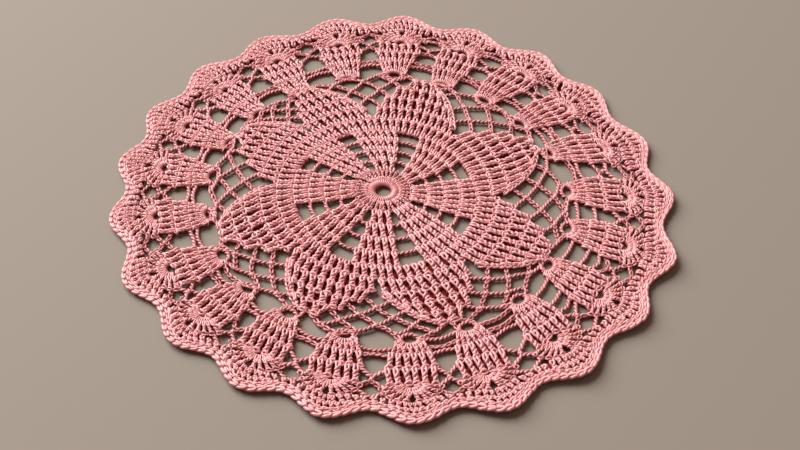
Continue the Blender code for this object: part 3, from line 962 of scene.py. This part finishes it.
def addGap(yarn, j):
    # chains of the gap after fan j
    f = fanWork
    group = [side for side in ("back", "front", "right") if j in f[side + "Gaps"]] or ["side"]
    tied, steps = f[group[0] + "Chains"]
    extra = [f[kind + "Chain"] for kind in ("bar", "inner") if j in f[kind + "Gaps"]]
    for edge, centreStep in (*steps, *extra):
        xs = np.linspace(-f["gapReach"], f["gapReach"], 5)
        path = [gapPoint(j, x, lerp(centreStep, edge, min(abs(x), 1.0) ** f["gapBend"])) for x in xs]
        if rng.uniform() < f["openChains"]:
            addChain(yarn, path, f["openSize"])
        else:
            addCord(yarn, path, rng.uniform(*f["cordSizes"]))
    addKnot(yarn, gapPoint(j, 0.0, tied))


def addRim(yarn, j):
    # rolled edging, a plump braid with a smaller one inside it, plumper towards the front
    f = fanWork
    plump = max(0.0, -math.sin(math.radians(fans[j].tipDeg - f["rimTurn"])))
    for back, front in f["rims"]:
        inset, link, half, thread, height = lerp(np.array(back), np.array(front), plump)
        degs = [scallopDeg(j, x) for x in np.linspace(-1, 1, 17)]
        path = [polar(deg, outlineRadius(deg % wholeTurn) - inset) for deg in degs]
        sides = 7 if thread > f["roundFrom"] else 5
        addChain(yarn, path, link=link, roll=0.0, height=height, sides=sides, half=half, thread=thread)


def makeFans(name, first):
    yarn = Yarn()
    full, short = [], []
    for j in range(first, first + fanWork["runLength"]):
        base = baseFrame(fans[j])
        addArch(yarn, base, baseArch)
        # a chain closes most arches towards the doily's middle
        if j not in baseArch["open"]:
            turns = np.linspace(math.pi, 2 * math.pi, 7)
            addCord(yarn, [archPoint(base, baseArch["wide"], baseArch["closing"], turn) for turn in turns])
        upper = archFrame(fans[j].midDeg, fans[j].mid - upperArch["drop"])
        addArch(yarn, upper, upperArch)
        full += fanCells(j, base) + shellCells(upper)
        short += scallopCells(j)
        addGap(yarn, j)
        addRim(yarn, j)
    addTrebles(yarn, full)
    addTrebles(yarn, short, trebles["shortWraps"])
    return yarn.mesh(name)


fanPieces = [makeFans(*run) for run in fanWork["runs"]]


class Val:
    # shader maths on sockets
    def __init__(self, tree, socket):
        self.tree, self.socket = tree, socket

    def node(self, kind, settings=None, **inputs):
        made = self.tree.nodes.new(kind)
        for key, value in (settings or {}).items():
            setattr(made, key, value)
        for key, value in inputs.items():
            key = key.replace("_", " ")
            socket = made.inputs[int(key[2:])] if key.startswith("in") and key[2:].isdigit() else made.inputs[key]
            if isinstance(value, Val):
                self.tree.links.new(value.socket, socket)
            else:
                socket.default_value = value
        return made

    def out(self, made, name=0):
        return Val(self.tree, made.outputs[name])

    def maths(self, operation, a, b=0.0):
        return self.out(self.node("ShaderNodeMath", {"operation": operation}, in0=a, in1=b))

    def __add__(self, other):
        return self.maths("ADD", self, other)

    def __sub__(self, other):
        return self.maths("SUBTRACT", self, other)

    def __rsub__(self, other):
        return self.maths("SUBTRACT", other, self)

    def __mul__(self, other):
        return self.maths("MULTIPLY", self, other)

    __radd__, __rmul__ = __add__, __mul__


cotton = {
    "pale": (0.86, 0.450, 0.452, 1.0),
    "deep": (0.68, 0.255, 0.258, 1.0),
    # painted shade: the deep red given to low threads and to the shade plates
    "low": (0.27, 0.007, 0.006, 1.0),
    "lowHeights": (0.75, 2.85),
    "plies": 3.0,
    "plyPitch": 2.2,
    # shares of plies, thread, clouds and fuzz in the mix of the two pinks
    "mix": (0.30, 0.26, 0.26, 0.14),
    "fuzzScale": 3800.0,
    "cloudScale": 55.0,
    "roughness": (0.38, 0.50),
    "fuzzRoughness": 0.06,
    "relief": (0.8, 0.35),
    "bump": 0.55,
    "bumpDepth": 0.00012,
    "gloss": 0.7,
    "finish": {"Specular IOR Level": 0.30, "Coat Roughness": 0.36, "Coat IOR": 1.6, "Sheen Weight": 0.12,
               "Sheen Roughness": 0.4, "Sheen Tint": (1.0, 0.80, 0.80, 1.0)},
}


def setInputs(node, values):
    for name, value in values.items():
        node.inputs[name].default_value = value


def cottonMaterial():
    c = cotton
    material = bpy.data.materials.new("pinkCotton")
    material.use_nodes = True
    tree = material.node_tree
    shader = tree.nodes["Principled BSDF"]
    start = Val(tree, None)
    thread = start.out(start.node("ShaderNodeUVMap", {"uv_map": "thread"}))
    place = start.out(start.node("ShaderNodeTexCoord"), "Object")
    parts = start.node("ShaderNodeSeparateXYZ", in0=thread)
    along, around = start.out(parts, "X"), start.out(parts, "Y")
    # twisted plies run round the thread
    phase = (around * c["plies"] + along * (1.0 / c["plyPitch"])) * (2 * math.pi)
    ply = start.maths("SINE", phase) * 0.5 + 0.5
    fuzz = start.out(start.node("ShaderNodeTexNoise", Vector=place, Scale=c["fuzzScale"], Detail=3.0, Roughness=0.6), 0)
    cloud = start.out(start.node("ShaderNodeTexNoise", Vector=place, Scale=c["cloudScale"], Detail=2.0), 0)
    tone = start.out(start.node("ShaderNodeAttribute", {"attribute_name": "tone"}), "Fac")
    # height of each point, which sets how much painted shade it gets
    high = start.out(start.node("ShaderNodeAttribute", {"attribute_name": "high"}), "Fac")
    plyShare, toneShare, cloudShare, fuzzShare = c["mix"]
    mix = ply * plyShare + tone * toneShare + cloud * cloudShare + fuzz * fuzzShare
    colour = start.node("ShaderNodeMix", {"data_type": "RGBA"}, in0=mix, in6=c["deep"], in7=c["pale"])
    # painted shade: threads that lie low are darker and deep red, standing in for the shade between the pink threads
    lowest, highest = c["lowHeights"]
    depth = start.node("ShaderNodeMapRange", {"interpolation_type": "SMOOTHSTEP"}, in0=high, in1=lowest, in2=highest)
    depth = start.out(depth)
    colour = start.node("ShaderNodeMix", {"data_type": "RGBA"}, in0=depth, in6=c["low"], in7=start.out(colour, 2))
    tree.links.new(colour.outputs[2], shader.inputs["Base Color"])
    smooth, matt = c["roughness"]
    rough = ply * (smooth - matt) + matt + fuzz * c["fuzzRoughness"]
    tree.links.new(rough.socket, shader.inputs["Roughness"])
    plyRelief, fuzzRelief = c["relief"]
    relief = ply * plyRelief + fuzz * fuzzRelief
    bump = start.node("ShaderNodeBump", Height=relief, Strength=c["bump"], Distance=c["bumpDepth"])
    tree.links.new(bump.outputs[0], shader.inputs["Normal"])
    # only the threads on top are glossy
    tree.links.new((depth * c["gloss"]).socket, shader.inputs["Coat Weight"])
    setInputs(shader, c["finish"])
    return material


pinkCotton = cottonMaterial()
pieces = [netPiece, centrePiece, *fanPieces]
for piece in pieces:
    piece.data.materials.append(pinkCotton)
    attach(piece, "root")
    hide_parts("doily")

# the flat area inside the lace's scalloped outline
xs, ys = outline.T
flatArea = abs(float((xs * np.roll(ys, -1) - ys * np.roll(xs, -1)).sum())) / 2 * mm ** 2
print("lace made")

floor = {"size": 6.0, "colour": (0.252, 0.217, 0.181, 1.0), "roughness": 0.85}
bpy.ops.object.select_all(action="DESELECT")
bpy.ops.mesh.primitive_plane_add(size=floor["size"], location=(0, 0, 0))
floorPiece = bpy.context.object
floorPiece.name = "floor"
floorMaterial = bpy.data.materials.new("paleFloor")
floorMaterial.use_nodes = True
floorShader = floorMaterial.node_tree.nodes["Principled BSDF"]
setInputs(floorShader, {"Base Color": floor["colour"], "Roughness": floor["roughness"]})
floorPiece.data.materials.append(floorMaterial)

light = {"from": (-1.5, 1.15, 1.5), "size": 2.0, "power": 133.0, "sky": (1.0, 0.68, 0.55, 1.0), "skyPower": 0.30}
bpy.ops.object.light_add(type="AREA", location=light["from"])
softLight = bpy.context.object
softLight.data.size = light["size"]
softLight.data.energy = light["power"]
softLight.rotation_euler = (-Vector(light["from"])).to_track_quat("-Z", "Y").to_euler()
world = bpy.data.worlds.new("sky")
world.use_nodes = True
setInputs(world.node_tree.nodes["Background"], {"Color": light["sky"], "Strength": light["skyPower"]})
bpy.context.scene.world = world

# the photograph's camera: focal length and width in pixels, angles in degrees, places in millimetres
view = {"focal": 1300.58, "pictureWide": 800.0, "sensor": 36.0, "elevation": 46.437, "roll": 3.139,
        "target": (5.28, -19.93, 1.6), "distance": 564.35}
elevation, roll = math.radians(view["elevation"]), math.radians(view["roll"])
back = Vector((0.0, -math.cos(elevation), math.sin(elevation)))
right, up = Vector((1.0, 0.0, 0.0)), Vector((0.0, math.sin(elevation), math.cos(elevation)))
target = Vector((view["target"][0] - middle[0], view["target"][1] - middle[1], view["target"][2])) * mm
cameraData = bpy.data.cameras.new("camera")
cameraData.sensor_width = view["sensor"]
cameraData.lens = view["sensor"] * view["focal"] / view["pictureWide"]
camera = bpy.data.objects.new("camera", cameraData)
bpy.context.scene.collection.objects.link(camera)
x = right * math.cos(roll) + up * math.sin(roll)
y = up * math.cos(roll) - right * math.sin(roll)
turned = Matrix((x, y, back)).transposed().to_4x4()
camera.matrix_world = Matrix.Translation(target + back * view["distance"] * mm) @ turned
bpy.context.scene.camera = camera
bpy.context.scene.view_settings.view_transform = "Standard"
print("floor, light and camera placed")
